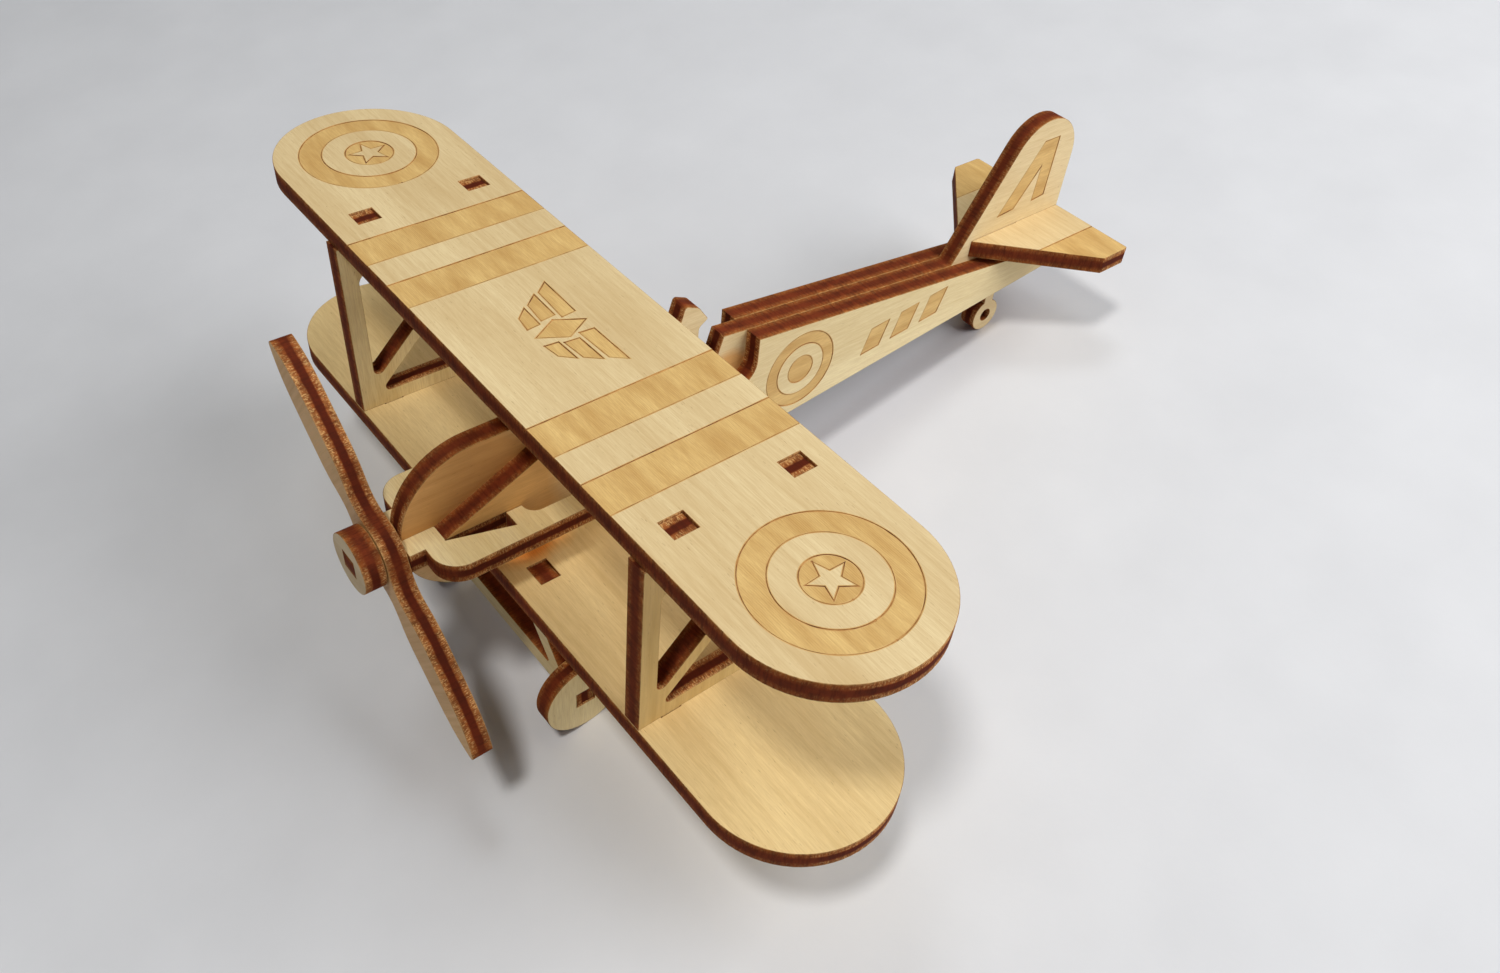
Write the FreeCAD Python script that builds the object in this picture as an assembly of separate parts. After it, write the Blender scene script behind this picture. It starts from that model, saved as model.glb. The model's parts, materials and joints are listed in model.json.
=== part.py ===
import FreeCAD, Part
import math
import os

# Biplane scale model: a slot-together kit of flat plates, all cut from one sheet.
#
# The plates are drawn level, with the wings flat: X to port, -Y to the nose, +Y to the tail, +Z up,
# and the origin at the middle of the upper wing's top face. The finished model is then pitched nose-up
# until its wheels and its tail ring stand on one floor, and moved so that the origin lies on that
# floor, under the middle of the whole model.

Vector = FreeCAD.Vector

# --- sheet ---------------------------------------------------------------------------------------
PLY = 3.0               # thickness of every plate
FIT = 0.05              # clearance on each side of a tab in its slot
TAB_SHORT = 0.3         # how far a tab's end stays below the face that it comes through
TURN_GAP = 0.15         # gap on each side of the propeller, so that it turns

# --- wings ---------------------------------------------------------------------------------------
HALF_SPAN = 65.8
HALF_CHORD = 13.8       # also the radius of the round tips
WING_GAP = 29.4         # from the upper wing's underside to the lower wing's top
LOWER_SHIFT = -0.4      # the lower wing sits this far forward of the upper one

# --- heights, from the upper wing's top face -----------------------------------------------------
LOWER_TOP = -PLY - WING_GAP
LOWER_UNDER = LOWER_TOP - PLY
DECK_TOP = -22.7
DECK_UNDER = DECK_TOP - PLY
TAILPLANE_TOP = -13.6
TAILPLANE_UNDER = TAILPLANE_TOP - PLY

# --- fuselage ------------------------------------------------------------------------------------
NOSE = -25.95           # front of the keel
NOSE_RADIUS = 11.65     # nose arch above the deck
CHIN_RADIUS = 10.5      # nose curve below the deck
TAIL = 102.45           # rear of keel, side plates and tailplane
KEEL_TOP = -11.65       # ahead of the windscreen hook
SPINE_TOP = -11.9       # the top line just behind the cockpit
SPINE_SLOPE = -0.1145   # the top line falls towards the tail
BELLY_START = 13.0      # where the bottom line leaves the lower wing
BELLY_SLOPE = 0.1037    # the bottom line rises towards the tail
FIN_FRONT = 76.3
FIN_SLOPE = 1.62
FIN_RADIUS = 8.1
FUSELAGE_TABS = ((-9.0, -4.0), (4.0, 9.0))

# --- windscreen hook and head rest, the parts of the keel seen in the cockpit ---------------------
HOOK_FRONT = 16.8       # where the windscreen leaves the keel's top
HOOK_FOOT = 21.9        # rear side of the windscreen's foot
HOOK_TIP = (23.45, -6.85)
HOOK_HEIGHT = -3.3
SEAT_FLOOR = -16.6
SEAT_REAR = 25.15
HEAD_REST = 26.7        # where the keel meets the top line again

# --- side plates ---------------------------------------------------------------------------------
SIDE_TOP = -11.75
SIDE_FRONT = -21.2      # foot of the sloping front edge, and the depth of the slots that join deck and keel
SHOULDER = 1.8          # where the sloping front edge reaches the top
COCKPIT_FRONT = 20.6
COCKPIT_FLOOR_FRONT = 19.4
COCKPIT_REAR = 31.1
COCKPIT_FLOOR = -19.6
SIDE_FOOT = -12.1       # front of the lower half, which stops behind the deck's slanted cut-outs

# --- interplane struts ---------------------------------------------------------------------------
STRUT_INNER = 35.0      # inner face, from the middle
STRUT_FRONT = -14.1
STRUT_REAR = 13.8
UPPER_STRUT_TABS = ((-10.2, -6.75), (7.0, 10.5))
LOWER_STRUT_TABS = ((-10.6, -7.5), (7.0, 10.5))
STRUT_TAB_FIT = 0.15    # clearance at each end of a strut's tab
FRONT_POST = -11.5      # rear side of the front post
REAR_POST = 11.4        # front side of the rear post
STRUT_RAILS = (-30.0, -8.0)     # insides of the lower and upper rails

# --- landing gear --------------------------------------------------------------------------------
GEAR_FRONT = -10.9      # front face of the gear frame
GEAR_TAB = (7.0, 10.8)
KNEE_OUTER = (11.3, -43.4, 3.0)
KNEE_INNER = (7.0, -42.6, 3.0)
FOOT_OUTER = 15.5       # where the leg meets the axle bar
FOOT_INNER = 12.1
WHEEL_INNER = 16.0
WHEEL_RADIUS = 6.45
AXLE_Y = GEAR_FRONT + PLY / 2
AXLE_Z = -50.3
RING_Y = 89.8
RING_Z = -32.6
RING_RADIUS = 3.1
RING_HOLE_RADIUS = 1.2
RING_NECK = 1.1         # half width of the neck that joins the ring to the keel, and its overlap

# --- nose ----------------------------------------------------------------------------------------
DECK_HALF_WIDTH = 10.0
DECK_FRONT = -24.1
DECK_FRONT_RADIUS = 3.9
DECK_REAR = 10.0
PRONG_INNER = 6.65      # inner side of the two prongs behind
NOTCH_FRONT = -9.7      # front of the notch between the prongs
BARB_REAR = -12.17      # slanted cut-outs beside the feet of the side plates' sloping fronts
BARB_OUTER = 7.3
FINGER_OUTER = 4.4      # outer side of the deck's fingers, under the side plates' sloping fronts
TONGUE_FRONT = -26.3
THRUST_Z = (DECK_TOP + DECK_UNDER) / 2
PROP_FRONT = TONGUE_FRONT - TURN_GAP - PLY
DISC_REAR = PROP_FRONT - TURN_GAP
DISC_RADIUS = 4.42
HUB_RADIUS = 4.5
HUB_HOLE_RADIUS = 2.2   # turns on the corners of the square tab
BLADE_LENGTH = 30.1
BLADE_ANGLE = -41.7     # degrees in the X-Z plane, at rest

# --- tailplane -----------------------------------------------------------------------------------
TAILPLANE_FRONT = 80.2
TAILPLANE_HALF = 17.5
TAILPLANE_TIP_FRONT = 96.2
TAILPLANE_LAP = 91.4    # where the slots of tailplane and keel meet


# --- drawing helpers -----------------------------------------------------------------------------
def place(normal, u, v, w):
    """A point of a plate: u, v in its plane and w along its normal."""
    if normal == "X":
        return Vector(w, u, v)
    if normal == "Y":
        return Vector(u, w, v)
    return Vector(u, v, w)


def corner_arc(before, corner, after, radius):
    """Start, middle and end of the arc that rounds a corner."""
    to_before = (before - corner).normalize()
    to_after = (after - corner).normalize()
    half = to_before.getAngle(to_after) / 2
    reach = radius / math.tan(half)
    bisector = (to_before + to_after).normalize()
    centre = corner + bisector * (radius / math.sin(half))
    return corner + to_before * reach, centre - bisector * radius, corner + to_after * reach


def outline(points, normal="Z", w=0.0):
    """Closed wire through (u, v) corners; a third number rounds its corner with that radius."""
    corners = [place(normal, p[0], p[1], w) for p in points]
    arcs = []
    for i, corner in enumerate(corners):
        if len(points[i]) == 3:
            before = corners[i - 1]
            after = corners[(i + 1) % len(corners)]
            arcs.append(corner_arc(before, corner, after, points[i][2]))
        else:
            arcs.append((corner, None, corner))
    edges = []
    for i, (start, middle, end) in enumerate(arcs):
        if middle is not None:
            edges.append(Part.Arc(start, middle, end).toShape())
        following = arcs[(i + 1) % len(arcs)][0]
        if end.distanceToPoint(following) > 1e-4:
            edges.append(Part.LineSegment(end, following).toShape())
    return Part.Wire(Part.__sortEdges__(edges))


def plate(points, normal, low, thickness=PLY):
    """Flat plate with the given outline, from low to low + thickness along its normal."""
    face = Part.Face(outline(points, normal, low))
    return face.extrude(place(normal, 0, 0, thickness))


def box(x, y, z):
    """Box between two limits on each axis."""
    size = (x[1] - x[0], y[1] - y[0], z[1] - z[0])
    return Part.makeBox(*size, Vector(x[0], y[0], z[0]))


def disc(normal, u, v, radius, low, thickness=PLY):
    """Round plate, or the cutter for a round hole."""
    return Part.makeCylinder(radius, thickness, place(normal, u, v, low), place(normal, 0, 0, 1))


def mirrored(corners):
    """The starboard corners that close an outline of which the port corners are given."""
    return [(-corner[0],) + corner[1:] for corner in reversed(corners)]


def both_sides(low, high):
    """The same stretch of X on the port and on the starboard side."""
    return ((low, high), (-high, -low))


def widened(limits, by):
    """Limits moved apart by the same distance at both ends."""
    return limits[0] - by, limits[1] + by


def spine(y):
    """Height of the fuselage's top line behind the cockpit."""
    return SPINE_TOP + SPINE_SLOPE * (y - COCKPIT_REAR)


def belly(y):
    """Height of the fuselage's bottom line behind the lower wing."""
    return LOWER_TOP + BELLY_SLOPE * (y - BELLY_START)


# --- wings ---------------------------------------------------------------------------------------
def wing_blank(shift, top):
    """Straight plate with round tips."""
    front = shift - HALF_CHORD
    rear = shift + HALF_CHORD
    corners = [(x, y, HALF_CHORD - 1e-3) for x, y in (
        (-HALF_SPAN, front), (HALF_SPAN, front), (HALF_SPAN, rear), (-HALF_SPAN, rear))]
    return plate(corners, "Z", top - PLY)


def strut_slots(tabs, top):
    """Slots for the ends of the two interplane struts."""
    return [box(x, y, (top - PLY, top))
            for x in both_sides(STRUT_INNER - FIT, STRUT_INNER + PLY + FIT) for y in tabs]


def upper_wing():
    return wing_blank(0, 0).cut(strut_slots(UPPER_STRUT_TABS, 0))


def lower_wing():
    depth = (LOWER_UNDER, LOWER_TOP)
    fuselage = widened((-1.5 * PLY, 1.5 * PLY), FIT)
    slots = strut_slots(LOWER_STRUT_TABS, LOWER_TOP)
    slots += [box(fuselage, widened(y, FIT), depth) for y in FUSELAGE_TABS]
    slots += [box(x, widened((GEAR_FRONT, GEAR_FRONT + PLY), FIT), depth) for x in both_sides(*GEAR_TAB)]
    return wing_blank(LOWER_SHIFT, LOWER_TOP).cut(slots)


# --- fuselage ------------------------------------------------------------------------------------
def fuselage_tabs(x):
    """Tabs that hold a fuselage plate in the lower wing."""
    return [box(x, y, (LOWER_UNDER + TAB_SHORT, LOWER_TOP)) for y in FUSELAGE_TABS]


def keel():
    """Middle plate: nose, windscreen hook, cockpit notch, fin and tail ring in one piece."""
    wing_edge = LOWER_SHIFT - HALF_CHORD - FIT
    fin_peak = spine(FIN_FRONT) + FIN_SLOPE * (TAIL - FIN_FRONT)
    body = [
        (NOSE, KEEL_TOP, NOSE_RADIUS),
        (HOOK_FRONT, KEEL_TOP, 0.4),
        (HOOK_FRONT + 2.5, HOOK_HEIGHT, 0.5),
        (HOOK_FOOT - 0.2, HOOK_HEIGHT - 1.05, 1.6),
        (*HOOK_TIP, 0.3),
        (HOOK_FOOT, HOOK_TIP[1] - 1.05, 1.0),
        (HOOK_FOOT, SEAT_FLOOR, 1.5),
        (SEAT_REAR, SEAT_FLOOR, 1.5),
        (HEAD_REST, spine(HEAD_REST)),
        (FIN_FRONT, spine(FIN_FRONT), 0.5),
        (TAIL, fin_peak, FIN_RADIUS),
        (TAIL, belly(TAIL)),
        (BELLY_START, LOWER_TOP),
        (wing_edge, LOWER_TOP),
        (wing_edge, LOWER_UNDER),
        (NOSE, LOWER_UNDER, CHIN_RADIUS),
    ]
    half = PLY / 2
    blank = plate(body, "X", -half)
    ring = disc("X", RING_Y, RING_Z, RING_RADIUS, -half)
    neck_depth = (RING_Z + RING_RADIUS - RING_NECK, belly(RING_Y) + RING_NECK)
    neck = box((-half, half), (RING_Y - RING_NECK, RING_Y + RING_NECK), neck_depth)
    blank = blank.fuse([ring, neck] + fuselage_tabs((-half, half))).removeSplitter()
    cuts = [
        disc("X", RING_Y, RING_Z, RING_HOLE_RADIUS, -half),
        box((-half, half), (NOSE - 1, SIDE_FRONT), (DECK_UNDER, DECK_TOP)),
        box((-half, half), (TAILPLANE_LAP, TAIL + 1), (TAILPLANE_UNDER, TAILPLANE_TOP)),
    ]
    return blank.cut(cuts)


def side_plate(inner):
    """Outer fuselage plate with the cockpit cut-out."""
    body = [
        (SIDE_FRONT, DECK_TOP),
        (SHOULDER, SIDE_TOP),
        (COCKPIT_FRONT, SIDE_TOP),
        (COCKPIT_FLOOR_FRONT, COCKPIT_FLOOR, 3.4),
        (COCKPIT_REAR, COCKPIT_FLOOR, 3.6),
        (COCKPIT_REAR, spine(COCKPIT_REAR)),
        (TAIL, spine(TAIL)),
        (TAIL, belly(TAIL)),
        (BELLY_START, LOWER_TOP),
        (SIDE_FOOT, LOWER_TOP),
        (SIDE_FOOT, DECK_TOP),
    ]
    return plate(body, "X", inner).fuse(fuselage_tabs((inner, inner + PLY))).removeSplitter()


def nose_deck():
    """Flat nose plate: it slides from the front onto the keel, and its tab carries the propeller.

    Behind, it grips the side plates' lower halves; ahead of them its two fingers hold the keel and
    carry the side plates' sloping fronts.
    """
    half_tab = PLY / 2
    half_slot = PLY / 2 + FIT
    grip = 1.5 * PLY + FIT
    port = [
        (half_tab, DISC_REAR - PLY),
        (half_tab, TONGUE_FRONT),
        (grip, TONGUE_FRONT),
        (grip, DECK_FRONT),
        (DECK_HALF_WIDTH, DECK_FRONT, DECK_FRONT_RADIUS),
        (DECK_HALF_WIDTH, DECK_REAR, 0.6),
        (PRONG_INNER, DECK_REAR, 0.6),
        (PRONG_INNER, NOTCH_FRONT, 1.9),
        (grip, NOTCH_FRONT),
        (grip, BARB_REAR),
        (BARB_OUTER, BARB_REAR),
        (grip, SIDE_FRONT),
        (FINGER_OUTER, SIDE_FRONT),
        (FINGER_OUTER, BARB_REAR),
        (half_slot, BARB_REAR),
        (half_slot, SIDE_FRONT),
    ]
    return plate(port + mirrored(port), "Z", DECK_UNDER)


def tailplane():
    """Stabiliser, slotted from the front across the keel."""
    half_slot = PLY / 2 + FIT
    port = [
        (half_slot, TAILPLANE_LAP),
        (half_slot, TAILPLANE_FRONT),
        (TAILPLANE_HALF, TAILPLANE_TIP_FRONT, 0.4),
        (TAILPLANE_HALF, TAIL, 0.5),
    ]
    return plate(port + mirrored(port), "Z", TAILPLANE_UNDER)


# --- interplane struts ---------------------------------------------------------------------------
def strut(inner):
    """Plate between the wings, with two three-cornered openings beside a diagonal bar."""
    body = [
        (STRUT_FRONT, LOWER_TOP),
        (STRUT_FRONT, -PLY),
        (STRUT_REAR, -PLY),
        (STRUT_REAR, LOWER_TOP),
    ]
    floor, ceiling = STRUT_RAILS
    front_opening = [
        (FRONT_POST, ceiling, 1.7),
        (8.05, ceiling, 0.9),
        (FRONT_POST, -27.55, 0.9),
    ]
    rear_opening = [
        (-11.1, floor, 0.8),
        (REAR_POST, -7.5, 0.8),
        (REAR_POST, floor, 1.7),
    ]
    x = (inner, inner + PLY)
    upper_depth = (-PLY, -TAB_SHORT)
    lower_depth = (LOWER_UNDER + TAB_SHORT, LOWER_TOP)
    upper = [box(x, widened(y, -STRUT_TAB_FIT), upper_depth) for y in UPPER_STRUT_TABS]
    lower = [box(x, widened(y, -STRUT_TAB_FIT), lower_depth) for y in LOWER_STRUT_TABS]
    solid = plate(body, "X", inner).fuse(upper + lower).removeSplitter()
    return solid.cut([plate(front_opening, "X", inner), plate(rear_opening, "X", inner)])


# --- landing gear --------------------------------------------------------------------------------
def gear_frame():
    """Two splayed legs and an axle bar, cut from one plate."""
    half_bar = PLY / 2 - FIT
    axle_end = WHEEL_INNER + PLY - TAB_SHORT
    port = [
        (axle_end, AXLE_Z - half_bar),
        (axle_end, AXLE_Z + half_bar),
        (FOOT_OUTER, AXLE_Z + half_bar),
        KNEE_OUTER,
        (GEAR_TAB[1], LOWER_UNDER),
        (GEAR_TAB[1] - FIT, LOWER_TOP - TAB_SHORT),
        (GEAR_TAB[0] + FIT, LOWER_TOP - TAB_SHORT),
        (GEAR_TAB[0], LOWER_UNDER),
        KNEE_INNER,
        (FOOT_INNER, AXLE_Z + half_bar, 0.5),
    ]
    return plate(port + mirrored(port), "Y", GEAR_FRONT)


def wheel(inner):
    """Round plate with a square hole for the end of the axle bar."""
    half_hole = PLY / 2
    hole = box((inner, inner + PLY), (AXLE_Y - half_hole - FIT, AXLE_Y + half_hole + FIT),
               (AXLE_Z - half_hole, AXLE_Z + half_hole))
    return disc("X", AXLE_Y, AXLE_Z, WHEEL_RADIUS, inner).cut(hole)


# --- propeller -----------------------------------------------------------------------------------
def blade_edge(side):
    """One edge of a blade along +X, from the middle of the hub to the start of the round tip."""
    stations = (
        (0.0, 4.4), (2.6, 3.7), (5.0, 2.25), (7.2, 1.85), (11.0, 2.75), (16.5, 3.0),
        (22.0, 2.8), (25.5, 2.35), (27.8, 1.6), (29.7, 0.65),
    )
    edge = Part.BSplineCurve()
    edge.interpolate([Vector(reach, PROP_FRONT, side * width) for reach, width in stations])
    return edge


def blade():
    """One flat blade: it sweeps out of the hub into a narrow neck, and has a small round tip."""
    upper = blade_edge(1)
    lower = blade_edge(-1)
    tip = Part.Arc(upper.EndPoint, Vector(BLADE_LENGTH, PROP_FRONT, 0), lower.EndPoint)
    root = Part.LineSegment(lower.StartPoint, upper.StartPoint)
    wire = Part.Wire(Part.__sortEdges__([c.toShape() for c in (upper, tip, lower, root)]))
    return Part.Face(wire).extrude(Vector(0, PLY, 0))


def propeller():
    """Two blades on a round hub, with a round hole that turns on the square nose tab."""
    other = blade()
    other.rotate(Vector(0, 0, 0), Vector(0, 1, 0), 180)
    hub = disc("Y", 0, 0, HUB_RADIUS, PROP_FRONT)
    solid = hub.fuse([blade(), other]).removeSplitter()
    solid = solid.cut(disc("Y", 0, 0, HUB_HOLE_RADIUS, PROP_FRONT))
    solid.rotate(Vector(0, 0, 0), Vector(0, 1, 0), -BLADE_ANGLE)
    solid.translate(Vector(0, 0, THRUST_Z))
    return solid


def hub_disc():
    """Retaining disc on the end of the nose tab."""
    half_hole = PLY / 2
    front = DISC_REAR - PLY
    hole = box(widened((-half_hole, half_hole), FIT), (front, DISC_REAR), (DECK_UNDER, DECK_TOP))
    return disc("Y", 0, THRUST_Z, DISC_RADIUS, front).cut(hole)


# --- standing on the floor -----------------------------------------------------------------------
def standing_pitch():
    """Nose-up angle, in radians, at which the wheels and the tail ring touch one floor."""
    run = RING_Y - AXLE_Y
    rise = RING_Z - AXLE_Z
    return math.atan2(rise, run) + math.asin((WHEEL_RADIUS - RING_RADIUS) / math.hypot(run, rise))


def stand(shapes, pitch):
    """Pitch every shape, and move them so that the origin is on the floor under the middle."""
    for shape in shapes:
        shape.rotate(Vector(0, 0, 0), Vector(1, 0, 0), -math.degrees(pitch))
    bounds = Part.makeCompound(shapes).optimalBoundingBox(False, False)
    lift = Vector(0, -(bounds.YMin + bounds.YMax) / 2, -bounds.ZMin)
    for shape in shapes:
        shape.translate(lift)
    return lift


def main():
    parts = {
        "upper_wing": upper_wing(),
        "lower_wing": lower_wing(),
        "keel": keel(),
        "side_plate_port": side_plate(PLY / 2),
        "side_plate_starboard": side_plate(-1.5 * PLY),
        "nose_deck": nose_deck(),
        "tailplane": tailplane(),
        "strut_port": strut(STRUT_INNER),
        "strut_starboard": strut(-STRUT_INNER - PLY),
        "gear_frame": gear_frame(),
        "wheel_port": wheel(WHEEL_INNER),
        "wheel_starboard": wheel(-WHEEL_INNER - PLY),
        "propeller": propeller(),
        "hub_disc": hub_disc(),
    }
    pitch = standing_pitch()
    lift = stand(list(parts.values()), pitch)

    os.makedirs("parts", exist_ok=True)
    for name, shape in parts.items():
        print(name, shape.isValid(), len(shape.Solids), round(shape.Volume, 1))
        shape.exportStep("parts/%s.step" % name)
    print("pitch", math.degrees(pitch), "lift", lift)


main()
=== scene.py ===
import json
import math
from collections import Counter, defaultdict

import bmesh
import bpy
from mathutils import Matrix, Vector
from mathutils.geometry import delaunay_2d_cdt, intersect_point_line


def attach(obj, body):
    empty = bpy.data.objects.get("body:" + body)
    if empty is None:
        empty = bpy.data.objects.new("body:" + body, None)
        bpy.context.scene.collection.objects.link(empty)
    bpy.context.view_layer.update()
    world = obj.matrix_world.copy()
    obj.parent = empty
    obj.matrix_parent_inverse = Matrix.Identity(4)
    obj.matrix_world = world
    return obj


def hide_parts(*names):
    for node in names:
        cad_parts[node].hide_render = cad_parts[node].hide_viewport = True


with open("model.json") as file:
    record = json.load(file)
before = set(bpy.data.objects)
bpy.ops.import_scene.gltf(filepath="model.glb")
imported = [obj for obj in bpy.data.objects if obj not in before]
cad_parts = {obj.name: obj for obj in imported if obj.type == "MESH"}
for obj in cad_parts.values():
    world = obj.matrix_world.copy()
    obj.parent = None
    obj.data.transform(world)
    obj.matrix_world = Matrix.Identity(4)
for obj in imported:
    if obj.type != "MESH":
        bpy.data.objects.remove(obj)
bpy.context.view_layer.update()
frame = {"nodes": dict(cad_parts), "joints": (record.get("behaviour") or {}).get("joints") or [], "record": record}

# Looks of the plywood biplane. Each plate is rebuilt from the outlines of its CAD mesh, with rounded
# rims, sunk engraving and scored lines, and with materials for its face, its cut edge and its marks.
# The scene is in metres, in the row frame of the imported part. Drawings are in millimetres, in the level
# frame, where the wings are flat and the origin is the middle of the upper wing's top face.

MM = 0.001
SHEET = 3.0             # sheet thickness
NEARLY_TOP = 0.49       # a CAD face higher than this part of the sheet above its middle is its top
SHORTEST_EDGE = 0.01    # points of a cut outline that are closer than this are one
MERGE_GAP = 1e-5        # points of the triangulated artwork that are closer than this are one
FLATTEST_MITRE = 0.35   # keeps the corners of a widened outline short where it turns sharply
RIM = 0.07              # how far the cut rims are rounded
RIM_RINGS = ((0.0, 0.0), (0.62, 0.22), (1.0, 1.0))  # reach and drop of the rim's rings, in parts of RIM
SHARP_TURN = 32         # edges that turn by more than this, in degrees, stay sharp

FACE, EDGE, ENGRAVED, TOASTED, SCORED = range(5)    # material slots; of two marks, the later one shows
DEPTH = {ENGRAVED: 0.05, TOASTED: 0.0, SCORED: 0.10}
TOP, UNDER, BOTH = (1,), (-1,), (1, -1)     # faces that a mark is on, by the sign of the plate's own Z

BLADE_TURN = math.radians(41.7)     # the propeller's blades at rest, below level on the port side

# Directions of a plate's own X, Y and Z in the level frame. X runs along the grain of its face, and
# Z out of its face.
AXES = {
    "flat": ((1, 0, 0), (0, 1, 0), (0, 0, 1)),
    "side": ((0, 1, 0), (0, 0, 1), (1, 0, 0)),
    "upright": ((0, 0, 1), (0, -1, 0), (1, 0, 0)),
    "front": ((1, 0, 0), (0, 0, 1), (0, -1, 0)),
    "blade": ((math.sin(BLADE_TURN), 0, math.cos(BLADE_TURN)),
              (-math.cos(BLADE_TURN), 0, math.sin(BLADE_TURN)), (0, -1, 0)),
}


# --- level frame ---------------------------------------------------------------------------------
def level_frame():
    """Matrix from the level frame to the row frame: the propeller's axis gives the pitch."""
    axis = Vector(frame["joints"][0]["axis"])
    turn = Matrix.Rotation(math.atan2(axis.z, axis.y), 4, "X")
    level = [turn.inverted() @ v.co for v in frame["nodes"]["upper_wing"].data.vertices]
    middle = (min(p.y for p in level) + max(p.y for p in level)) / 2
    return turn @ Matrix.Translation((0, middle, max(p.z for p in level)))


LEVEL = level_frame()


def plate_matrix(node, lay):
    """Matrix of a plate's own frame, whose origin is in the plate's middle plane."""
    columns = Matrix([Vector(axis) for axis in AXES[lay]]).transposed().to_4x4()
    matrix = LEVEL @ columns
    heights = [(matrix.inverted() @ v.co).z for v in frame["nodes"][node].data.vertices]
    return matrix @ Matrix.Translation((0, 0, (min(heights) + max(heights)) / 2))


# --- outlines in a plate's plane, in millimetres ---------------------------------------------------
def circle(x, y, radius, steps=96):
    turns = [2 * math.pi * i / steps for i in range(steps)]
    return [(x + radius * math.cos(t), y + radius * math.sin(t)) for t in turns]


def rectangle(x0, y0, x1, y1):
    return [(x0, y0), (x1, y0), (x1, y1), (x0, y1)]


def star(x, y, radius, inner, heading):
    """Five-pointed star with one point towards the heading, in degrees."""
    points = []
    for i in range(10):
        reach = radius if i % 2 == 0 else inner
        turn = math.radians(heading + 36 * i)
        points.append((x + reach * math.cos(turn), y + reach * math.sin(turn)))
    return points


def signed_area(points):
    following = points[1:] + points[:1]
    return sum(a[0] * b[1] - b[0] * a[1] for a, b in zip(points, following)) / 2


def shifted_right(points, distance):
    """The outline with every side moved to its right-hand side, and mitred corners."""
    result = []
    for i, point in enumerate(points):
        corner = Vector(point)
        arriving = (corner - Vector(points[i - 1])).normalized()
        leaving = (Vector(points[(i + 1) % len(points)]) - corner).normalized()
        normals = Vector((arriving.y + leaving.y, -arriving.x - leaving.x))
        reach = 2 * distance / max(normals.length_squared, FLATTEST_MITRE)
        result.append(tuple(corner + normals * reach))
    return result


def grown(points, distance):
    """The outline moved outwards, whichever way round it runs."""
    return shifted_right(points, math.copysign(distance, signed_area(points) * distance))


def mirrored(points):
    return [(-x, y) for x, y in points]


# --- plates ----------------------------------------------------------------------------------------
def cut_loops(node, matrix):
    """Outlines of a CAD plate's flat face, each with the wood on its left-hand side."""
    bm = bmesh.new()
    bm.from_mesh(frame["nodes"][node].data)
    bm.transform(matrix.inverted())
    bmesh.ops.remove_doubles(bm, verts=bm.verts, dist=SHORTEST_EDGE * MM)
    lowest = NEARLY_TOP * SHEET * MM
    top = [face for face in bm.faces if min(vert.co.z for vert in face.verts) > lowest]
    top = dict.fromkeys(top)    # a set that keeps its order
    following = {}
    for face in top:
        for corner in face.loops:
            if corner.link_loop_radial_next.face not in top:
                following[corner.vert] = corner.link_loop_next.vert
    loops = []
    while following:
        vert, points = next(iter(following)), []
        while vert in following:
            points.append((vert.co.x / MM, vert.co.y / MM))
            vert = following.pop(vert)
        loops.append(points)
    bm.free()
    return loops


class Plan:
    """Triangles of a plate, seen along its normal, each with a depth and a material on both faces.

    Artwork is a list of (loops, mark, sides). A mark covers what an odd number of its loops surround.
    """

    def __init__(self, outlines, artwork):
        self.outlines = outlines
        self.rims = [shifted_right(points, -RIM) for points in outlines]
        owners = ["rim"] * len(outlines)
        loops = list(self.rims)
        for number, (shape, _, _) in enumerate(artwork):
            loops += shape
            owners += [number] * len(shape)
        points, polygons = [], []
        for loop in loops:
            start = len(points)
            points += loop if signed_area(loop) > 0 else loop[::-1]
            polygons.append(list(range(start, start + len(loop))))
        flat = [Vector(p) for p in points]
        whole_hull = 0
        cut = delaunay_2d_cdt(flat, [], polygons, whole_hull, MERGE_GAP)
        self.points, _, triangles, _, _, inside = cut
        self.triangles, self.marks = [], []
        for triangle, holders in zip(triangles, inside):
            count = Counter(owners[holder] for holder in holders)
            if count["rim"] % 2 == 0:
                continue
            self.triangles.append(triangle)
            covers = [artwork[owner] for owner, times in count.items() if owner != "rim" and times % 2]
            self.marks.append({side: self.mark_on(side, covers) for side in (1, -1)})

    def mark_on(self, side, covers):
        """Depth and material of one face of the plate under some artwork."""
        marks = [mark for _, mark, sides in covers if side in sides]
        depth = max([DEPTH[mark] for mark in marks], default=0.0)
        return depth, max(marks, default=FACE)

    def outline_point(self, number):
        """The point of the cut wall that belongs to a point of the rim."""
        point = self.points[number]
        best = None
        for rim, outline in zip(self.rims, self.outlines):
            for i in range(len(rim)):
                near, share = intersect_point_line(point, Vector(rim[i - 1]), Vector(rim[i]))
                share = min(max(share, 0.0), 1.0)
                gap = (Vector(rim[i - 1]).lerp(Vector(rim[i]), share) - point).length
                if best is None or gap < best[0]:
                    best = (gap, Vector(outline[i - 1]).lerp(Vector(outline[i]), share))
        return best[1]


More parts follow.
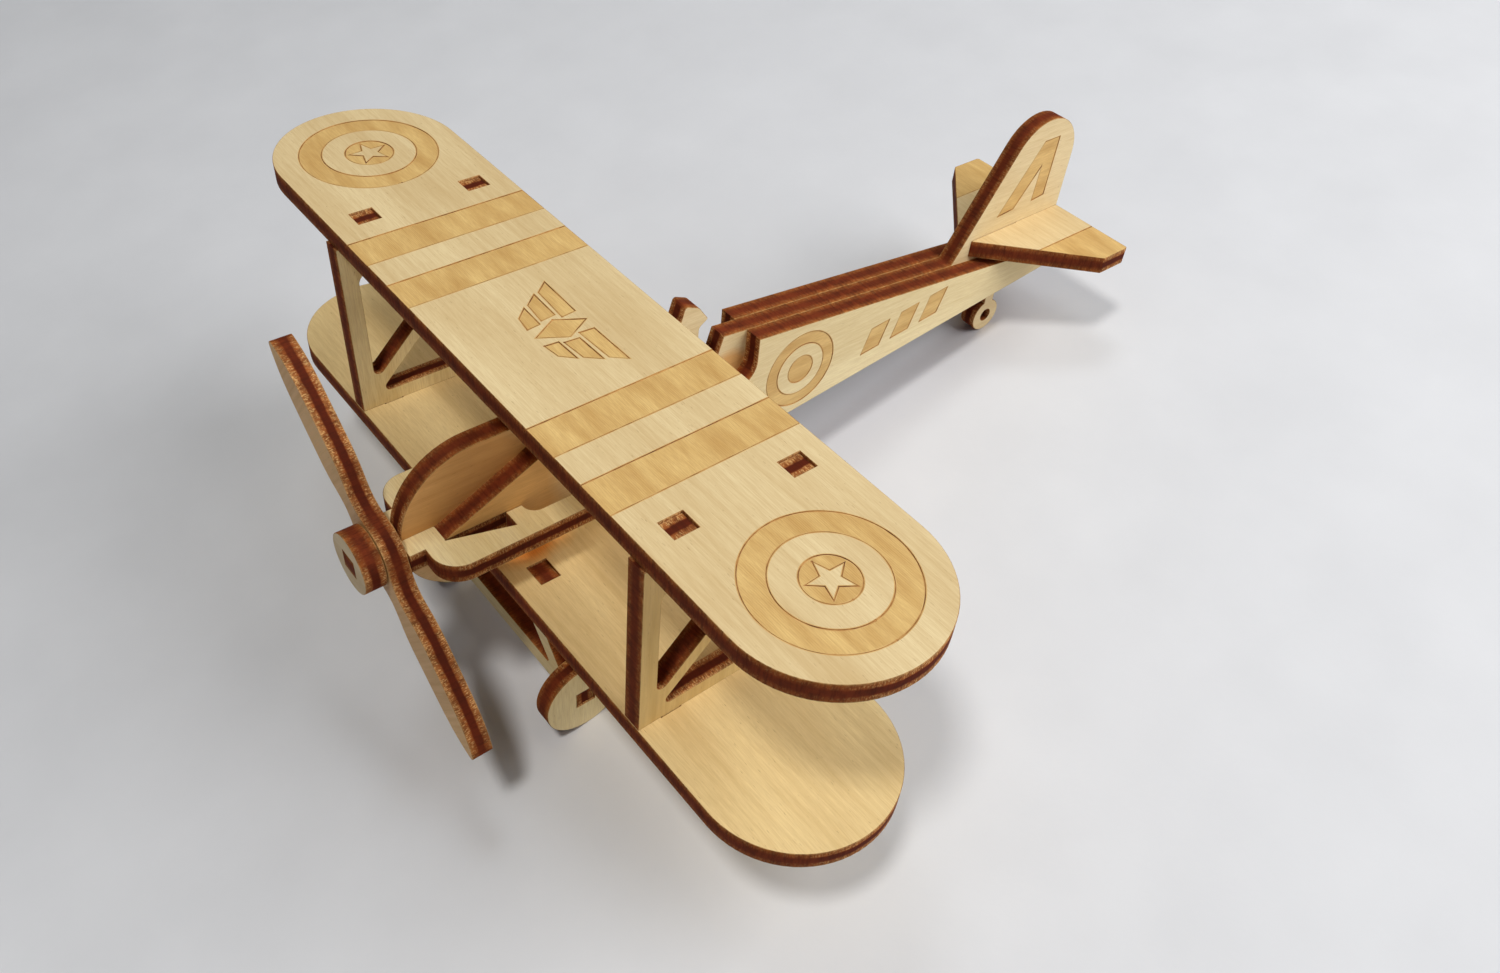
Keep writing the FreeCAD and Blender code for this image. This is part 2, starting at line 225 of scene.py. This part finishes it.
class Slab:
    """Closed mesh of a plate: flat faces with sunk artwork, rounded rims and cut walls."""

    def __init__(self, plan):
        self.plan = plan
        self.bm = bmesh.new()
        self.verts = {}
        self.outer = {}
        self.columns = defaultdict(set)
        for triangle, marks in zip(plan.triangles, plan.marks):
            for side, (depth, material) in marks.items():
                self.face([self.vert(i, 0, side, depth) for i in triangle], material)
        self.close_rims(self.steps())
        bmesh.ops.recalc_face_normals(self.bm, faces=self.bm.faces)

    def height(self, ring, side, depth):
        """Height of a ring of the rim, lower where artwork runs over the rim."""
        return side * (SHEET / 2 - max(RIM_RINGS[ring][1] * RIM, depth))

    def vert(self, number, ring, side, depth):
        return self.vert_at(number, ring, self.height(ring, side, depth))

    def vert_at(self, number, ring, height):
        key = (number, ring, round(height, 4))
        if key not in self.verts:
            place = self.plan.points[number]
            if ring:
                if number not in self.outer:
                    self.outer[number] = self.plan.outline_point(number)
                place = place.lerp(self.outer[number], RIM_RINGS[ring][0])
            self.verts[key] = self.bm.verts.new((place.x * MM, place.y * MM, height * MM))
        return self.verts[key]

    def face(self, verts, material):
        verts = list(dict.fromkeys(verts))
        if len(verts) > 2:
            self.bm.faces.new(verts).material_index = material

    def steps(self):
        """Small walls where the depth changes; returns each edge of a rim, with the marks beside it."""
        beside = defaultdict(list)
        for number, triangle in enumerate(self.plan.triangles):
            for i in range(3):
                beside[frozenset((triangle[i - 1], triangle[i]))].append(number)
        rims = []
        for edge, numbers in beside.items():
            a, b = edge
            if len(numbers) == 1:
                rims.append((a, b, self.plan.marks[numbers[0]]))
                continue
            for side in (1, -1):
                first, second = (self.plan.marks[number][side] for number in numbers)
                if first[0] != second[0]:
                    wall = [self.vert(a, 0, side, first[0]), self.vert(b, 0, side, first[0]),
                            self.vert(b, 0, side, second[0]), self.vert(a, 0, side, second[0])]
                    self.face(wall, max(first, second)[1])
        return rims

    def close_rims(self, rims):
        """Rounded rims, their small steps beside artwork, and the cut walls."""
        last = len(RIM_RINGS) - 1
        depths = defaultdict(set)
        for a, b, marks in rims:
            for side, (depth, _) in marks.items():
                for number in (a, b):
                    depths[number, side].add(depth)
                    self.columns[number].add(round(self.height(last, side, depth), 4))
                for ring in range(last):
                    self.face([self.vert(a, ring, side, depth), self.vert(b, ring, side, depth),
                               self.vert(b, ring + 1, side, depth),
                               self.vert(a, ring + 1, side, depth)], EDGE)
        for (number, side), levels in depths.items():
            if len(levels) == 2:
                first, second = levels
                for ring in range(last):
                    self.face([self.vert(number, ring, side, first), self.vert(number, ring, side, second),
                               self.vert(number, ring + 1, side, second),
                               self.vert(number, ring + 1, side, first)], EDGE)
        for a, b, marks in rims:
            high, low = (round(self.height(last, side, marks[side][0]), 4) for side in (1, -1))
            rising = [z for z in sorted(self.columns[a]) if low <= z <= high]
            falling = [z for z in sorted(self.columns[b], reverse=True) if low <= z <= high]
            self.face([self.vert_at(a, last, z) for z in rising]
                      + [self.vert_at(b, last, z) for z in falling], EDGE)


def plate(node, lay, wood, artwork=()):
    """Rebuilds one plate of the CAD model, with artwork as Plan takes it."""
    matrix = plate_matrix(node, lay)
    slab = Slab(Plan(cut_loops(node, matrix), artwork))
    mesh = bpy.data.meshes.new(node)
    slab.bm.to_mesh(mesh)
    slab.bm.free()
    for material in (wood, *CUT_AND_MARKS):
        mesh.materials.append(material)
    mesh.set_sharp_from_angle(angle=math.radians(SHARP_TURN))
    for polygon in mesh.polygons:
        polygon.use_smooth = polygon.material_index == EDGE
    store_plate_place(mesh)
    mesh.transform(matrix)
    piece = added(node + "_ply", mesh)
    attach(piece, body_of(node))
    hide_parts(node)


def added(name, data):
    """A new object in the scene."""
    made = bpy.data.objects.new(name, data)
    bpy.context.scene.collection.objects.link(made)
    return made


def store_plate_place(mesh):
    """Keeps what the wood needs on a mesh that is still in its plate's own frame: each point's place in
    millimetres, and how far each corner's normal runs along the grain."""
    place = mesh.attributes.new("place", "FLOAT_VECTOR", "POINT")
    for vert, item in zip(mesh.vertices, place.data):
        item.vector = vert.co / MM
    across = mesh.attributes.new("across_grain", "FLOAT", "CORNER")
    for normal, item in zip(mesh.corner_normals, across.data):
        item.value = abs(normal.vector.x)


def body_of(node):
    """The moving body that a CAD node belongs to."""
    bodies = frame["record"]["behaviour"]["bodies"]
    return next(body for body, nodes in bodies.items() if node in nodes)


# --- shader helpers --------------------------------------------------------------------------------
class Shader:
    """A node material, built one node at a time."""

    def __init__(self, name):
        self.material = bpy.data.materials.new(name)
        self.material.use_nodes = True
        self.tree = self.material.node_tree
        self.surface = self.tree.nodes["Principled BSDF"]

    def node(self, kind, settings=None, **inputs):
        """Adds a node; inputs are numbers, vectors or other nodes' sockets, by the input's name."""
        made = self.tree.nodes.new(kind)
        for key, value in (settings or {}).items():
            setattr(made, key, value)
        for key, value in inputs.items():
            self.feed(made.inputs[key.replace("_", " ")], value)
        return made

    def feed(self, socket, value):
        """Sets a socket to a number or colour, or links it to another socket."""
        if isinstance(value, bpy.types.NodeSocket):
            self.tree.links.new(value, socket)
        else:
            socket.default_value = value

    def stored(self, name, output):
        """A value that store_plate_place keeps on the mesh."""
        return self.node("ShaderNodeAttribute", {"attribute_name": name}).outputs[output]

    def plate_coordinates(self, scale, shift=(0, 0, 0)):
        """The plate's own coordinates in millimetres, stretched and shifted."""
        place = self.stored("place", "Vector")
        mapping = self.node("ShaderNodeMapping", Vector=place, Scale=scale, Location=shift)
        return mapping.outputs["Vector"]

    def noise(self, vector, scale=1.0, detail=3.0, roughness=0.5, distortion=0.0):
        made = self.node("ShaderNodeTexNoise", Vector=vector, Scale=scale, Detail=detail,
                         Roughness=roughness, Distortion=distortion)
        return made.outputs[0]

    def ramp(self, value, stops):
        """Colour ramp with (position, colour or grey) stops."""
        made = self.node("ShaderNodeValToRGB", Fac=value)
        elements = made.color_ramp.elements
        while len(elements) < len(stops):
            elements.new(0.5)
        for element, (position, colour) in zip(elements, stops):
            element.position = position
            element.color = (*colour, 1) if isinstance(colour, tuple) else (colour,) * 3 + (1,)
        return made.outputs["Color"]

    def mix(self, factor, a, b, blend="MIX"):
        """Mixes two colours; the node's inputs 6 and 7 and its output 2 are the colour ones."""
        made = self.node("ShaderNodeMix", {"data_type": "RGBA", "blend_type": blend})
        self.feed(made.inputs[0], factor)
        for socket, value in ((made.inputs[6], a), (made.inputs[7], b)):
            self.feed(socket, (*value, 1) if isinstance(value, tuple) else value)
        return made.outputs[2]

    def math(self, operation, a, b=0.0, clamp=False):
        made = self.node("ShaderNodeMath", {"operation": operation, "use_clamp": clamp})
        self.feed(made.inputs[0], a)
        self.feed(made.inputs[1], b)
        return made.outputs[0]

    def bump(self, height, distance_mm, strength=1.0):
        made = self.node("ShaderNodeBump", Height=height, Distance=distance_mm * MM, Strength=strength)
        self.feed(self.surface.inputs["Normal"], made.outputs[0])

    def finish(self, colour, roughness):
        self.feed(self.surface.inputs["Base Color"], colour)
        self.feed(self.surface.inputs["Roughness"], roughness)
        return self.material


# --- materials -------------------------------------------------------------------------------------
# Scales of plate coordinates are in noise cells per millimetre: along the grain, across it and through
# the sheet.

# Tones of the face veneer, each as a deep and a pale colour.
CREAM = ((0.65, 0.46, 0.215), (0.83, 0.655, 0.36))
PALE = ((0.73, 0.565, 0.28), (0.88, 0.73, 0.41))
# The palest tone paints fill light onto the deck, the starboard strut and the gear frame, which lie in the wings'
# shade; the wheels share it.
PALEST_TONE_AND_PAINTED_FILL = ((0.80, 0.61, 0.28), (0.95, 0.79, 0.44))
GOLDEN = ((0.72, 0.51, 0.22), (0.92, 0.71, 0.35))
TANNED = ((0.62, 0.41, 0.14), (0.80, 0.59, 0.25))
SMOKED = ((0.50, 0.26, 0.085), (0.72, 0.42, 0.16))
GREY = ((0.54, 0.39, 0.20), (0.68, 0.53, 0.31))

# Colours of what lies in and on the wood.
FIBRE = (0.55, 0.36, 0.15)
PORE = (0.34, 0.19, 0.07)
SMOKE_AND_BOUNCE_TINT = (1.0, 0.70, 0.42)       # warm multiplier of the wood's colour, for smoke stains and for painted warm bounce light in shade
SHADED_PATCHES = ((0.59, 0.34, 0.095), (0.81, 0.55, 0.20))
SHADED_FIBRE = (0.44, 0.22, 0.06)
RASTER_LINE = (0.86, 0.66, 0.34)
BROWNED = ((0.70, 0.46, 0.17), (0.56, 0.31, 0.09))
SCORCHED = ((0.60, 0.32, 0.10), (0.40, 0.175, 0.045), (0.16, 0.055, 0.018))
CHARRED_STRIA = (0.070, 0.014, 0.006)
GOLDEN_FLECK = (0.80, 0.47, 0.18)
SOOT = (0.045, 0.014, 0.008)

# Ramp stops of the cut edge's plies, from the sheet's middle (0) to its face (1): where the cut runs
# along the grain, and where it crosses it. The last, bright gold stop at the face is partly unburnt veneer
# at the rim and partly a painted highlight of the rim catching the light.
LONG_PLIES = (
    (0.00, (0.190, 0.036, 0.012)), (0.24, (0.185, 0.036, 0.012)), (0.42, (0.215, 0.046, 0.013)),
    (0.66, (0.280, 0.070, 0.017)), (0.90, (0.340, 0.105, 0.024)), (1.00, (0.560, 0.290, 0.100)))
END_PLIES = (
    (0.00, (0.110, 0.018, 0.007)), (0.26, (0.110, 0.018, 0.007)), (0.34, (0.160, 0.034, 0.011)),
    (0.42, (0.330, 0.090, 0.022)), (0.85, (0.400, 0.150, 0.045)), (1.00, (0.620, 0.350, 0.140)))

# Warm patches as (x, y, radius) in the plate's plane, in millimetres: on the lower wing a smoke stain with
# painted warm bounce light near the fuselage, and on the keel and the side plates painted warm bounce light where
# they lie in shade.
WING_SMOKE_AND_BOUNCE = ((0.0, -8.0, 10.0), (1.0, -8.0, 7.5))
KEEL_PAINTED_BOUNCE = ((-16.0, -21.0, 17.0), (28.0, -19.0, 6.5))
SIDE_PAINTED_BOUNCE = ((-15.0, -22.0, 17.0),)


def wood(name, seed, tones=CREAM, stains_and_painted_bounce=()):
    """Sanded face veneer: broad soft streaks, fine fibres, a few short dark pores along the grain, and
    warm patches: smoke stains where the laser's cuts are close, and painted warm bounce light where the wood lies
    in shade."""
    s = Shader(name)
    shift = (seed * 13.7, seed * 7.3, seed * 3.1)
    figure = s.noise(s.plate_coordinates((0.018, 0.11, 0.11), shift), detail=2.0, distortion=0.4)
    streaks = s.noise(s.plate_coordinates((0.06, 1.3, 1.3), shift), detail=4.0, roughness=0.6)
    fibres = s.noise(s.plate_coordinates((0.35, 6.5, 6.5), shift), detail=3.0, roughness=0.65)
    pores = s.noise(s.plate_coordinates((0.9, 7.0, 7.0), shift), detail=1.0)
    tone = s.math("ADD", s.math("MULTIPLY", figure, 0.6), s.math("MULTIPLY", streaks, 0.4))
    colour = s.ramp(tone, ((0.34, tones[0]), (0.62, tones[1])))
    colour = s.mix(s.ramp(fibres, ((0.36, 0.34), (0.62, 0.0))), colour, FIBRE)
    colour = s.mix(s.ramp(pores, ((0.72, 0.0), (0.79, 0.55))), colour, PORE)
    # Warm patches multiply the colour: a smoke stain with painted bounce light on the lower wing, and painted warm
    # bounce light in shade on the keel and side plates.
    for x, y, radius in stains_and_painted_bounce:
        place = s.plate_coordinates((1 / radius, 1 / radius, 0.0), (-x / radius, -y / radius, 0.0))
        distance = s.node("ShaderNodeVectorMath", {"operation": "LENGTH"}, Vector=place).outputs["Value"]
        ragged = s.math("ADD", distance, s.math("MULTIPLY", figure, 0.4))
        colour = s.mix(s.ramp(ragged, ((0.75, 1.0), (1.3, 0.0))), colour, SMOKE_AND_BOUNCE_TINT, "MULTIPLY")
    s.bump(fibres, 0.02, 0.6)
    return s.finish(colour, s.ramp(streaks, ((0.3, 0.62), (0.7, 0.50))))


def engraved_wood():
    """Laser-shaded area: toasted veneer with the raster's fine lines along the grain."""
    s = Shader("engraved_wood")
    patches = s.noise(s.plate_coordinates((0.10, 0.5, 0.5)), detail=4.0)
    fibres = s.noise(s.plate_coordinates((0.5, 6.0, 6.0)), detail=3.0, roughness=0.7)
    waves = s.node("ShaderNodeTexWave", {"bands_direction": "Y"}, Vector=s.plate_coordinates((1, 1, 1)),
                   Scale=1.25, Distortion=1.5, Detail=2.0, Detail_Scale=2.0)
    lines = waves.outputs["Fac"]
    colour = s.ramp(patches, ((0.3, SHADED_PATCHES[0]), (0.7, SHADED_PATCHES[1])))
    colour = s.mix(s.ramp(fibres, ((0.35, 0.40), (0.65, 0.0))), colour, SHADED_FIBRE)
    colour = s.mix(s.math("MULTIPLY", lines, 0.07), colour, RASTER_LINE)
    s.bump(s.math("ADD", lines, fibres), 0.02, 0.5)
    return s.finish(colour, 0.72)


def toasted_wood():
    """Veneer browned by the heat beside a scored line."""
    s = Shader("toasted_wood")
    patches = s.noise(s.plate_coordinates((0.5, 0.5, 0.5)), detail=3.0)
    colour = s.ramp(patches, ((0.35, BROWNED[0]), (0.65, BROWNED[1])))
    return s.finish(colour, 0.7)


def scored_line():
    """Scorched outline: orange-brown where the laser ran fast, nearly black where it slowed."""
    s = Shader("scored_line")
    burn = s.noise(s.plate_coordinates((0.35, 0.35, 0.35)), detail=3.0, roughness=0.6)
    colour = s.ramp(burn, ((0.36, SCORCHED[0]), (0.52, SCORCHED[1]), (0.68, SCORCHED[2])))
    return s.finish(colour, 0.85)


def cut_edge():
    """Laser-cut edge of three plies: a maroon middle ply between orange-brown ones, darker where the
    cut runs along the fibres, with golden flecks where it crosses them."""
    s = Shader("cut_edge")
    height = s.node("ShaderNodeSeparateXYZ", Vector=s.stored("place", "Vector")).outputs["Z"]
    waver = s.noise(s.plate_coordinates((0.7, 0.7, 0.7)), detail=3.0)
    wavering = s.math("ADD", s.math("ABSOLUTE", height),
                      s.math("MULTIPLY", s.math("SUBTRACT", waver, 0.5), 0.35))
    share = s.math("DIVIDE", wavering, SHEET / 2)
    end_grain = s.ramp(s.stored("across_grain", "Fac"), ((0.78, 0.0), (0.97, 1.0)))
    colour = s.mix(end_grain, s.ramp(share, LONG_PLIES), s.ramp(share, END_PLIES))

    striae = s.noise(s.plate_coordinates((2.2, 2.2, 0.40)), detail=4.0, roughness=0.8)
    flecks = s.noise(s.plate_coordinates((5.0, 5.0, 2.2)), detail=3.0, roughness=0.65)
    soot = s.noise(s.plate_coordinates((0.35, 0.35, 0.9)), detail=3.0)
    outer = s.ramp(share, ((0.34, 0.0), (0.62, 1.0)))
    golden = s.math("MULTIPLY", s.ramp(flecks, ((0.50, 0.0), (0.62, 0.9))), outer)
    golden = s.math("MULTIPLY", golden, s.mix(end_grain, (0.16, 0.16, 0.16), (0.9, 0.9, 0.9)))
    colour = s.mix(s.ramp(striae, ((0.38, 0.60), (0.56, 0.0))), colour, CHARRED_STRIA)
    colour = s.mix(golden, colour, GOLDEN_FLECK)
    colour = s.mix(s.ramp(soot, ((0.38, 0.30), (0.58, 0.0))), colour, SOOT)
    s.bump(striae, 0.04, 0.6)
    s.surface.inputs["Specular IOR Level"].default_value = 0.04
    return s.finish(colour, 0.75)


CUT_AND_MARKS = (cut_edge(), engraved_wood(), toasted_wood(), scored_line())     # slots EDGE to SCORED


# --- artwork, in each plate's own plane --------------------------------------------------------------
SCORE = ((0.32, TOASTED), (0.13, SCORED))   # widths of the browned strip and of the scored line on it
DWELL_RADIUS = 0.16                         # burnt dot where a scored outline starts
PAST = 1.0                                  # how far a mark runs past the edge of its plate

STRIPES = ((14.1, 19.87), (25.4, 31.15))    # sides of the wing's stripes, from its middle
WING_ROUNDEL = (10.09, 6.9, 3.5)            # radii of the circles
STAR_POINT, STAR_WAIST = 3.05, 1.28         # radii of the star
DIAMOND = ((-2.1, 0.2), (0.0, -3.6), (2.1, 0.2), (0.0, 4.0))
FEATHERS = ((1.6, 3.9, 9.8), (-1.1, 1.2, 8.1), (-3.6, -1.5, 6.2))   # front, rear and reach of each
SIDE_ROUNDEL = (6.78, 4.72, 2.47)
SIDE_ROUNDEL_PLACE = (40.35, -21.4)
BAR = ((0.0, 0.0), (3.9, 0.4), (5.5, 4.9), (1.6, 4.5))
BARS_START = (53.9, -24.45)
BARS_STEP = 6.6
BELLY_SLOPE = 0.103                         # the row of bars rises with the side plate's lower side
CHEVRON = ((85.9, -10.7), (93.9, 1.0), (97.6, 1.0), (97.4, -9.9), (94.4, -10.2), (94.7, -3.6),
           (89.7, -10.4))
TAIL_SHADE = 0.555                          # where the tailplane's shaded tips start, in half spans


def scored_outline(points, sides=TOP):
    """A scored line round a closed outline, on a browned strip, with a burnt dot where it starts."""
    marks = [([grown(points, width / 2), grown(points, -width / 2)], mark, sides)
             for width, mark in SCORE]
    return marks + [([circle(*points[0], DWELL_RADIUS, 12)], SCORED, sides)]


def scored_across(x, reach, sides=TOP):
    """A straight scored line along Y, right across a plate."""
    return [([rectangle(x - width / 2, -reach, x + width / 2, reach)], mark, sides)
            for width, mark in SCORE]


def roundel(x, y, radii, sides=TOP, emblem=None):
    """Three scored circles; the outer ring and the disc are shaded, apart from an emblem."""
    outer, middle, inner = (circle(x, y, radius) for radius in radii)
    marks = [([outer, middle], ENGRAVED, sides)]
    marks.append(([inner, emblem] if emblem else [inner], ENGRAVED, sides))
    for points in (outer, middle, inner, emblem):
        marks += scored_outline(points, sides) if points else []
    return marks


def far_corner(node, lay):
    """The highest X, Y and Z of a CAD plate in its own frame, in millimetres."""
    to_plate = plate_matrix(node, lay).inverted()
    points = [to_plate @ v.co / MM for v in frame["nodes"][node].data.vertices]
    return Vector([max(p[i] for p in points) for i in range(3)])


def wing_artwork():
    """Two pairs of stripes, a star roundel on each round tip, and a winged diamond in the middle."""
    high = far_corner("upper_wing", "flat")
    chord = high.y
    tip = high.x - chord
    past = chord + PAST
    marks = []
    for start, end in STRIPES:
        for side in (1, -1):
            marks.append(([rectangle(side * start, -past, side * end, past)], ENGRAVED, TOP))
            marks += scored_across(side * start, past) + scored_across(side * end, past)
    for x in (-tip, tip):
        marks += roundel(x, 0, WING_ROUNDEL, emblem=star(x, 0, STAR_POINT, STAR_WAIST, 180))
    for shape in winged_diamond():
        marks.append(([shape], ENGRAVED, TOP))
        marks += scored_outline(shape)
    return marks


def winged_diamond():
    """Generic emblem in the middle of the wing: a diamond between three swept feathers a side."""
    shapes = [list(DIAMOND)]
    for low, high, reach in FEATHERS:
        root = 2.7 if high > 0 > low else 2.0
        feather = [(root, low), (reach - 1.6, low + 0.35), (reach, high), (root + 0.2, high - 0.15)]
        shapes += [feather, mirrored(feather)]
    return shapes


def side_artwork(sides):
    """Roundel and three slanted bars on the outer face of a side plate."""
    marks = roundel(*SIDE_ROUNDEL_PLACE, SIDE_ROUNDEL, sides)
    for i in range(3):
        start = BARS_START[0] + BARS_STEP * i
        low = BARS_START[1] + BELLY_SLOPE * BARS_STEP * i
        bar = [(start + x, low + y) for x, y in BAR]
        marks.append(([bar], ENGRAVED, sides))
        marks += scored_outline(bar, sides)
    return marks


def fin_artwork():
    """A tall chevron on both faces of the fin."""
    chevron = list(CHEVRON)
    return [([chevron], ENGRAVED, BOTH)] + scored_outline(chevron, BOTH)


def tail_artwork():
    """Shaded tips of the tailplane."""
    high = far_corner("tailplane", "flat")
    inner = TAIL_SHADE * high.x
    past = high.y + PAST
    marks = []
    for side in (1, -1):
        marks.append(([rectangle(side * inner, -past, side * (high.x + PAST), past)], ENGRAVED, TOP))
        marks += scored_across(side * inner, past)
    return marks


# --- model -----------------------------------------------------------------------------------------
def build_model():
    plate("upper_wing", "flat", wood("wood_upper_wing", 1), wing_artwork())
    plate("lower_wing", "flat", wood("wood_lower_wing", 2, GOLDEN, WING_SMOKE_AND_BOUNCE))
    plate("keel", "side", wood("wood_keel", 3, CREAM, KEEL_PAINTED_BOUNCE), fin_artwork())
    plate("side_plate_port", "side", wood("wood_side_port", 4, PALE, SIDE_PAINTED_BOUNCE), side_artwork(TOP))
    plate("side_plate_starboard", "side", wood("wood_side_starboard", 5, PALE, SIDE_PAINTED_BOUNCE),
          side_artwork(UNDER))
    # The deck, the starboard strut and the gear frame take the palest tone as painted fill light in the wings'
    # shade.
    plate("nose_deck", "flat", wood("wood_deck", 6, PALEST_TONE_AND_PAINTED_FILL))
    plate("tailplane", "flat", wood("wood_tailplane", 7), tail_artwork())
    plate("strut_port", "upright", wood("wood_strut_port", 8, TANNED))
    plate("strut_starboard", "upright", wood("wood_strut_starboard", 9, PALEST_TONE_AND_PAINTED_FILL))
    plate("gear_frame", "front", wood("wood_gear", 10, PALEST_TONE_AND_PAINTED_FILL))
    plate("wheel_port", "upright", wood("wood_wheel_port", 11, PALEST_TONE_AND_PAINTED_FILL))
    plate("wheel_starboard", "upright", wood("wood_wheel_starboard", 12, PALEST_TONE_AND_PAINTED_FILL))
    plate("propeller", "blade", wood("wood_propeller", 13, SMOKED))
    plate("hub_disc", "front", wood("wood_hub", 14, GREY))


# --- stage -----------------------------------------------------------------------------------------
FLOOR_HALF = 3.0                            # half of the floor's side, in metres
PAPER = ((0.735, 0.735, 0.75), (0.775, 0.775, 0.79))

# Name, azimuth, elevation, distance and size in metres, power in watts, and colour: a small high key
# light in front, a broad low one to the right of the camera's view, and a weak one behind.
LIGHTS = (
    ("key", 36, 75, 0.90, 0.13, 2.90, (1.0, 0.985, 0.955)),
    ("right_soft", 136, 34, 0.70, 0.65, 4.35, (0.98, 0.985, 1.0)),
    ("back_soft", -134, 72, 0.90, 0.20, 0.90, (0.88, 0.95, 1.0)),
)
WORLD_COLOUR = (0.85, 0.92, 1.0, 1)
WORLD_STRENGTH = 0.07

# The camera's azimuth, elevation and roll in degrees and its place in millimetres, in the level frame.
CAMERA_AZIMUTH, CAMERA_ELEVATION, CAMERA_ROLL = 45.935, 43.919, 6.734
CAMERA_PLACE = (107.257, -66.906, 95.120)
CAMERA_LENS, CAMERA_SENSOR = 29.056, 36.0   # in millimetres


def direction(azimuth, elevation):
    """Away from the model, by degrees; azimuth 0 is in front of its nose and 90 is to port."""
    a, e = math.radians(azimuth), math.radians(elevation)
    return Vector((math.sin(a) * math.cos(e), -math.cos(a) * math.cos(e), math.sin(e)))


def build_floor():
    """Matt pale paper under the model."""
    mesh = bpy.data.meshes.new("floor")
    corners = rectangle(-FLOOR_HALF, -FLOOR_HALF, FLOOR_HALF, FLOOR_HALF)
    mesh.from_pydata([(x, y, 0) for x, y in corners], [], [(0, 1, 2, 3)])
    floor = added("floor", mesh)
    s = Shader("paper")
    place = s.node("ShaderNodeTexCoord").outputs["Object"]
    mottle = s.noise(place, scale=50.0, detail=4.0)
    grain = s.noise(place, scale=900.0, detail=3.0)
    s.bump(grain, 0.05, 0.3)
    mesh.materials.append(s.finish(s.ramp(mottle, ((0.3, PAPER[0]), (0.7, PAPER[1]))), 0.9))


def area_light(name, azimuth, elevation, distance, size, power, colour):
    """Round soft light aimed at the model."""
    away = direction(azimuth, elevation)
    data = bpy.data.lights.new(name, "AREA")
    data.shape = "DISK"
    data.size = size
    data.energy = power
    data.color = colour
    light = added(name, data)
    light.location = away * distance
    light.rotation_mode = "QUATERNION"
    light.rotation_quaternion = (-away).to_track_quat("-Z", "Y")


def build_lights():
    """The lights, and a dim sky for the shadows."""
    for light in LIGHTS:
        area_light(*light)
    world = bpy.data.worlds.new("studio")
    world.use_nodes = True
    background = world.node_tree.nodes["Background"]
    background.inputs["Color"].default_value = WORLD_COLOUR
    background.inputs["Strength"].default_value = WORLD_STRENGTH
    bpy.context.scene.world = world
    bpy.context.scene.view_settings.view_transform = "Standard"


def build_camera():
    """Camera in front of the port wing, looking down."""
    back = direction(CAMERA_AZIMUTH, CAMERA_ELEVATION)
    roll = math.radians(CAMERA_ROLL)
    level_right = (-back).cross(Vector((0, 0, 1))).normalized()
    level_up = back.cross(level_right)
    right = math.cos(roll) * level_right + math.sin(roll) * level_up
    up = back.cross(right)
    data = bpy.data.cameras.new("camera")
    data.sensor_width = CAMERA_SENSOR
    data.lens = CAMERA_LENS
    data.clip_start = 0.01
    camera = added("camera", data)
    turn = Matrix((right, up, back)).transposed().to_4x4()
    place = Matrix.Translation(Vector(CAMERA_PLACE) * MM)
    camera.matrix_world = LEVEL @ place @ turn
    bpy.context.scene.camera = camera


build_model()
build_floor()
build_lights()
build_camera()
